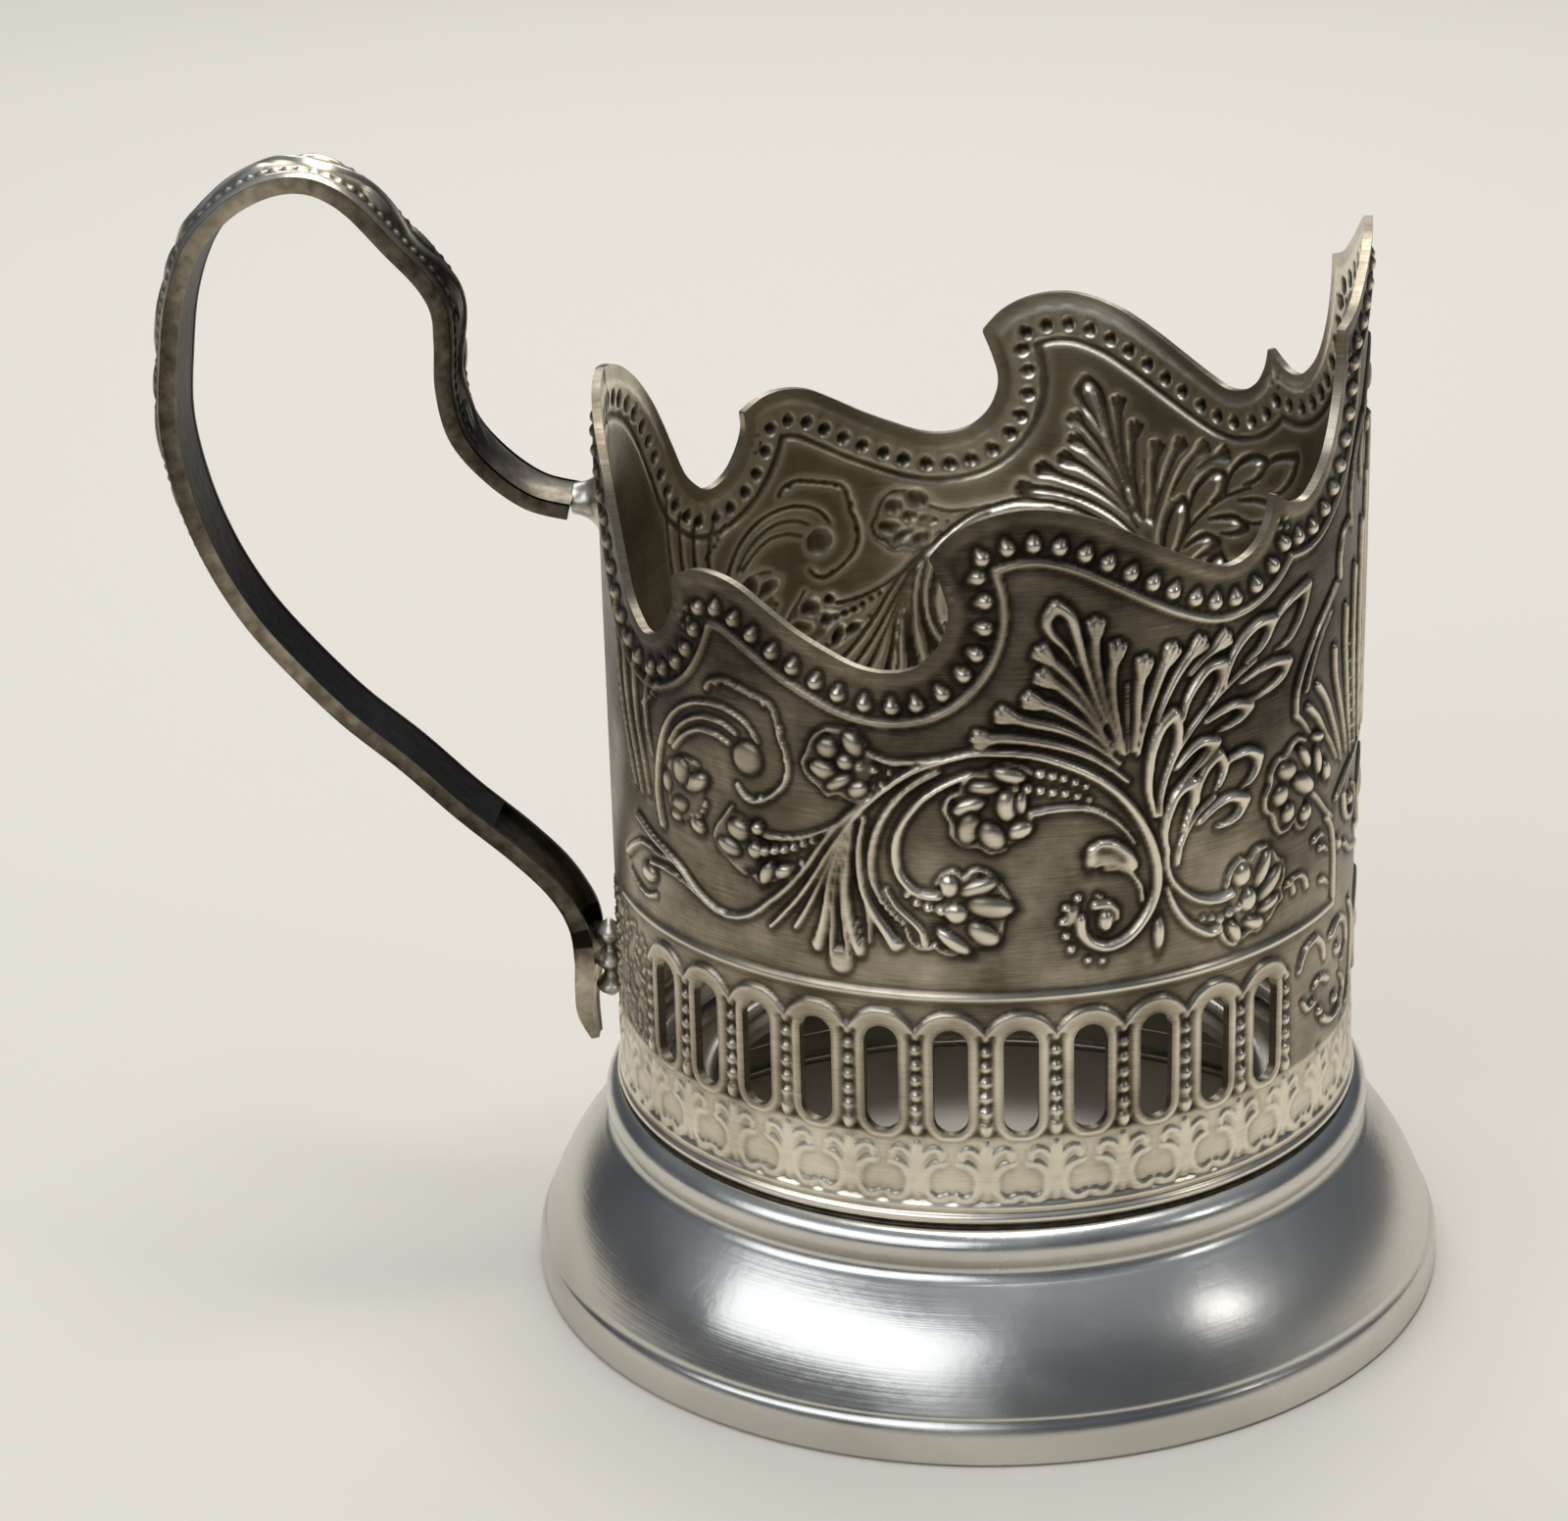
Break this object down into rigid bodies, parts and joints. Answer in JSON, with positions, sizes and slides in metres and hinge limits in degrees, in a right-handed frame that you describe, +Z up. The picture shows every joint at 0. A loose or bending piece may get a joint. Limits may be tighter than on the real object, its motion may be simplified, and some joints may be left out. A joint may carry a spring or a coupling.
{
  "type": "tea glass holder",
  "caption": "A podstakannik: a pierced and embossed sheet metal cylinder with a wavy crown, on a spun foot, with a strap handle, that holds a tea glass.",
  "frame": {"origin": "the middle of the foot's resting face, at table height", "axes": "+Z up along the glass bore, +X towards the tall tip of the rim, -X towards the handle, Y = 0 is the mirror plane"},
  "size_m": [0.1207, 0.0876, 0.1087],
  "materials": {
    "dark_nickel_silver": "embossed nickel silver, dark in the hollows and rubbed bright on the relief",
    "plain_nickel_silver": "plain nickel silver strip, worn satin",
    "bright_nickel": "spun and polished, with fine lines round it",
    "solder": "soft solder, satin grey, left as it flowed"
  },
  "bodies": {
    "root": {"body_sheet": "dark_nickel_silver", "seam_solder": "solder", "foot": "bright_nickel", "foot_solder": "solder", "backing_ring": "bright_nickel", "handle_face": "dark_nickel_silver", "handle_back": "plain_nickel_silver", "upper_solder": "solder", "lower_solder": "solder"}
  },
  "joints": []
}
